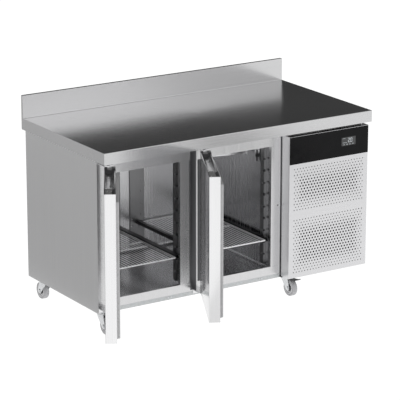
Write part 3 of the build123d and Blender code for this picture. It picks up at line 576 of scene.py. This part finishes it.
def make_hooks_painted_shade():
    """Dark hooks down the front of the uprights beside each doorway's right edge; their black is painted shade,
    standing for the shadow in the uprights' slots.
    """
    first, pitch = 0.206, 0.053
    bm = bmesh.new()
    for x in (-0.2600, 0.1836):
        for step in range(10):
            z = first + pitch * step
            tall = 0.010 if step % 2 else 0.006
            add_box(bm, (x - 0.0042, -0.2466, z), (x + 0.0035, -0.2376, z + tall), 0.0012)
    finish_piece(bm, "rack_hooks_painted_shade", black_plastic, "cabinet")


def make_dust_screen():
    """A black screen with raised wires, close behind each field of vent holes; its black is painted shade, so the
    holes read dark.
    """
    low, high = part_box("service_panel")
    bm = bmesh.new()
    face = low[1] + 0.0046
    wires = 12
    for bottom, top in ((0.375, 0.612), (0.118, 0.373)):
        add_box(bm, (low[0] + 0.004, face, bottom), (high[0] - 0.004, face + 0.0012, top), 0.0003, 1)
        for wire in range(wires):
            z = bottom + (top - bottom) * (wire + 0.5) / wires
            add_box(bm, (low[0] + 0.005, face - 0.0004, z - 0.0006), (high[0] - 0.005, face + 0.0004, z + 0.0006),
                    0.0002, 1)
    finish_piece(bm, "dust_screen_painted_shade", screen_painted_shade_black, "cabinet")


def make_hinge_stops():
    """A black bush on each top pivot, and the two-step stop beside it. Their black is partly the parts' own
    plastic and partly painted shade under the top hinge bracket.
    """
    bm = bmesh.new()
    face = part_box("front_frame")[0][1]
    bush = [(0.0044, 0.7452), (0.0082, 0.7452), (0.0086, 0.7462), (0.0086, 0.7492), (0.0080, 0.7498),
            (0.0044, 0.7498), (0.0044, 0.7452)]
    for side in ("left", "right"):
        x, y, _ = joints[f"door_{side}_hinge"]["pos_m"]
        add_lathe(bm, bush, lambda a, b, c: (x + a, y + b, c), 28)
        add_box(bm, (x + 0.030, face - 0.0120, 0.7330), (x + 0.044, face + 0.0004, 0.7470), 0.0025, 3)
        add_box(bm, (x + 0.010, face - 0.0040, 0.7360), (x + 0.030, face + 0.0004, 0.7440), 0.0012, 2)
    finish_piece(bm, "hinge_stops_painted_shade", black_plastic, "cabinet")


def make_screw():
    """The small screw at mid height on the door frame, beside the service panel."""
    bm = bmesh.new()
    low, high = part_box("front_frame")
    x, y, z = high[0] - 0.012, low[1], 0.432
    dome = [(0.0, -0.0014), (0.0018, -0.0012), (0.0030, -0.0006), (0.0032, 0.0006), (0.0, 0.0006)]
    add_lathe(bm, dome, lambda a, b, c: (x + a, y + c, z + b), 20)
    finish_piece(bm, "frame_screws", black_plastic, "cabinet")


make_frame_trim_and_painted_shade()
make_display()
make_hooks_painted_shade()
make_dust_screen()
make_hinge_stops()
make_screw()

# ------------------------------------------------------------------ castors


def make_wheel(name):
    """Tread, web with ribs, and ball races on a hub, turned about the axle; profiles are in millimetres."""
    joint = joints[f"castor_{name}_roll"]
    centre = Vector(joint["pos_m"])
    body = joint["child"]

    def around(a, b, c):
        return centre + Vector((c, a, b)) * MM

    bm = bmesh.new()
    tread = [(28.6, -11.6), (33.0, -12.4), (36.2, -11.4), (37.2, -9.4), (37.45, -6), (37.45, 6), (37.2, 9.4),
             (36.2, 11.4), (33.0, 12.4), (28.6, 11.6), (28.6, -11.6)]
    add_lathe(bm, tread, around, 56)
    finish_piece(bm, f"castor_{name}_tread", tread_rubber, body, [f"castor_{name}_wheel"], 40)

    bm = bmesh.new()
    web = [(28.5, -11), (27.5, -12.2), (25.2, -12.2), (24.2, -8.6), (17.0, -7.4), (15.6, -8.0), (15.2, 8.0),
           (17.0, 7.4), (24.2, 8.6), (25.2, 12.2), (27.5, 12.2), (28.5, 11), (28.5, -11)]
    add_lathe(bm, web, around, 56)
    ribs = 8
    for rib in range(ribs):
        turn = Matrix.Rotation(math.radians(360 / ribs * rib), 4, "X")
        matrix = Matrix.Translation(centre) @ turn
        add_box(bm, (-0.0098, -0.0009, 0.0152), (0.0098, 0.0009, 0.0256), 0.0003, 1, matrix)
    finish_piece(bm, f"castor_{name}_web", hub_plastic, body, (), 40)

    bm = bmesh.new()
    bore = 4.05
    for side in (-1, 1):
        race = [(bore, 9), (15.0, 9), (15.0, 10.4), (13.2, 11), (12.4, 10.2), (11.2, 10.2), (10.4, 11.6),
                (8.0, 12.8), (bore, 13.3), (bore, 9)]
        add_lathe(bm, [(radius, side * height) for radius, height in race], around, 40)
    add_lathe(bm, [(bore, -9), (14.8, -9), (14.8, 9), (bore, 9), (bore, -9)], around, 40)
    finish_piece(bm, f"castor_{name}_race", dark_race, body, (), 40)


for castor_name in ("front_left", "rear_left", "front_right", "rear_right"):
    make_wheel(castor_name)

# ------------------------------------------------------------------ stage, light and camera


def glow(name, colour, strength):
    """An even light surface with a faint grain."""
    material, tree, bsdf = shader(name)
    value = tint(tree, noise_at(tree, 3.0), tuple(channel * 0.985 for channel in colour), colour)
    tree.links.new(value, bsdf.inputs["Emission Color"])
    bsdf.inputs["Base Color"].default_value = (0.02, 0.02, 0.02, 1)
    bsdf.inputs["Emission Strength"].default_value = strength
    bsdf.inputs["Roughness"].default_value = 0.9
    bsdf.inputs["Specular IOR Level"].default_value = 0.0
    return material


def card(name, corners, strength, camera=False):
    """A flat studio card between four corners, which the camera sees only if asked to."""
    bm = bmesh.new()
    bm.faces.new([bm.verts.new(corner) for corner in corners])
    mesh = bpy.data.meshes.new(name)
    bm.to_mesh(mesh)
    bm.free()
    board = bpy.data.objects.new(name, mesh)
    bpy.context.scene.collection.objects.link(board)
    mesh.materials.append(glow(name, (0.9, 0.9, 0.9), strength))
    board.visible_camera = camera
    board.visible_shadow = camera


def area_light(name, place, target, size, power):
    """A rectangular soft light at a place, turned to a target."""
    data = bpy.data.lights.new(name, "AREA")
    data.shape = "RECTANGLE"
    data.size, data.size_y = size
    data.energy = power
    lamp = bpy.data.objects.new(name, data)
    bpy.context.scene.collection.objects.link(lamp)
    lamp.location = place
    lamp.rotation_euler = (Vector(target) - Vector(place)).to_track_quat("-Z", "Y").to_euler()


def floor_card(name, x, y, strength):
    """A card lying just above the floor, which the camera doesn't see."""
    z = 0.004
    card(name, ((x[0], y[0], z), (x[1], y[0], z), (x[1], y[1], z), (x[0], y[1], z)), strength)


def make_stage():
    """The floor, the cards on it that show in the steel, and one card high up in front."""
    far = 40
    card("floor", ((-far, -far, 0), (far, -far, 0), (far, far, 0), (-far, far, 0)), 1.18, camera=True)
    floor_card("card_left", (-4.5, -0.78), (-0.55, 4.0), 0.60)
    floor_card("card_front_left", (-2.8, -0.72), (-3.4, -0.6), 1.45)
    floor_card("card_front_dark", (1.30, 1.72), (-3.6, -2.25), 0.05)
    x0, x1, y, z0, z1 = 0.3, 2.0, -2.9, 1.45, 2.5
    card("card_front_high", ((x0, y, z0), (x1, y, z0), (x1, y, z1), (x0, y, z1)), 1.7)


def make_world():
    """A soft studio: bright in front of the counter, fading to dark behind it."""
    world = bpy.data.worlds.new("studio")
    bpy.context.scene.world = world
    world.use_nodes = True
    tree = world.node_tree
    where = tree.nodes.new("ShaderNodeTexCoord")
    split = tree.nodes.new("ShaderNodeSeparateXYZ")
    ramp = tree.nodes.new("ShaderNodeValToRGB")
    middle = tree.nodes.new("ShaderNodeMapRange")
    middle.inputs["From Min"].default_value = -1
    middle.inputs["From Max"].default_value = 1
    tree.links.new(where.outputs["Generated"], split.inputs["Vector"])
    tree.links.new(split.outputs["Y"], middle.inputs["Value"])
    tree.links.new(middle.outputs["Result"], ramp.inputs["Fac"])
    stops = ((0.0, 1.0), (0.42, 0.9), (0.62, 0.30), (0.8, 0.07), (1.0, 0.05))
    while len(ramp.color_ramp.elements) < len(stops):
        ramp.color_ramp.elements.new(0.5)
    for element, (place, level) in zip(ramp.color_ramp.elements, stops):
        element.position = place
        element.color = (level, level, level, 1)
    tree.links.new(ramp.outputs["Color"], tree.nodes["Background"].inputs["Color"])
    tree.nodes["Background"].inputs["Strength"].default_value = 0.9


def make_camera():
    """A long lens from the front left, aimed at the middle of the counter."""
    azimuth, elevation, distance = math.radians(32.609), math.radians(15.824), 9.729
    target = Vector((0, 0, 0.505))
    back = Vector((-math.sin(azimuth) * math.cos(elevation), -math.cos(azimuth) * math.cos(elevation),
                   math.sin(elevation)))
    data = bpy.data.cameras.new("camera")
    data.lens = 201.885
    data.sensor_width = 36
    data.shift_x = 0.00525
    data.shift_y = -0.047
    data.clip_end = 100
    camera = bpy.data.objects.new("camera", data)
    bpy.context.scene.collection.objects.link(camera)
    camera.location = target + back * distance
    camera.rotation_euler = (-back).to_track_quat("-Z", "Y").to_euler()
    bpy.context.scene.camera = camera


make_stage()
make_world()
make_camera()
area_light("key", (-2.5, -5.0, 3.2), (0, 0, 0.5), (3, 2), 35)
bpy.context.scene.view_settings.view_transform = "Standard"
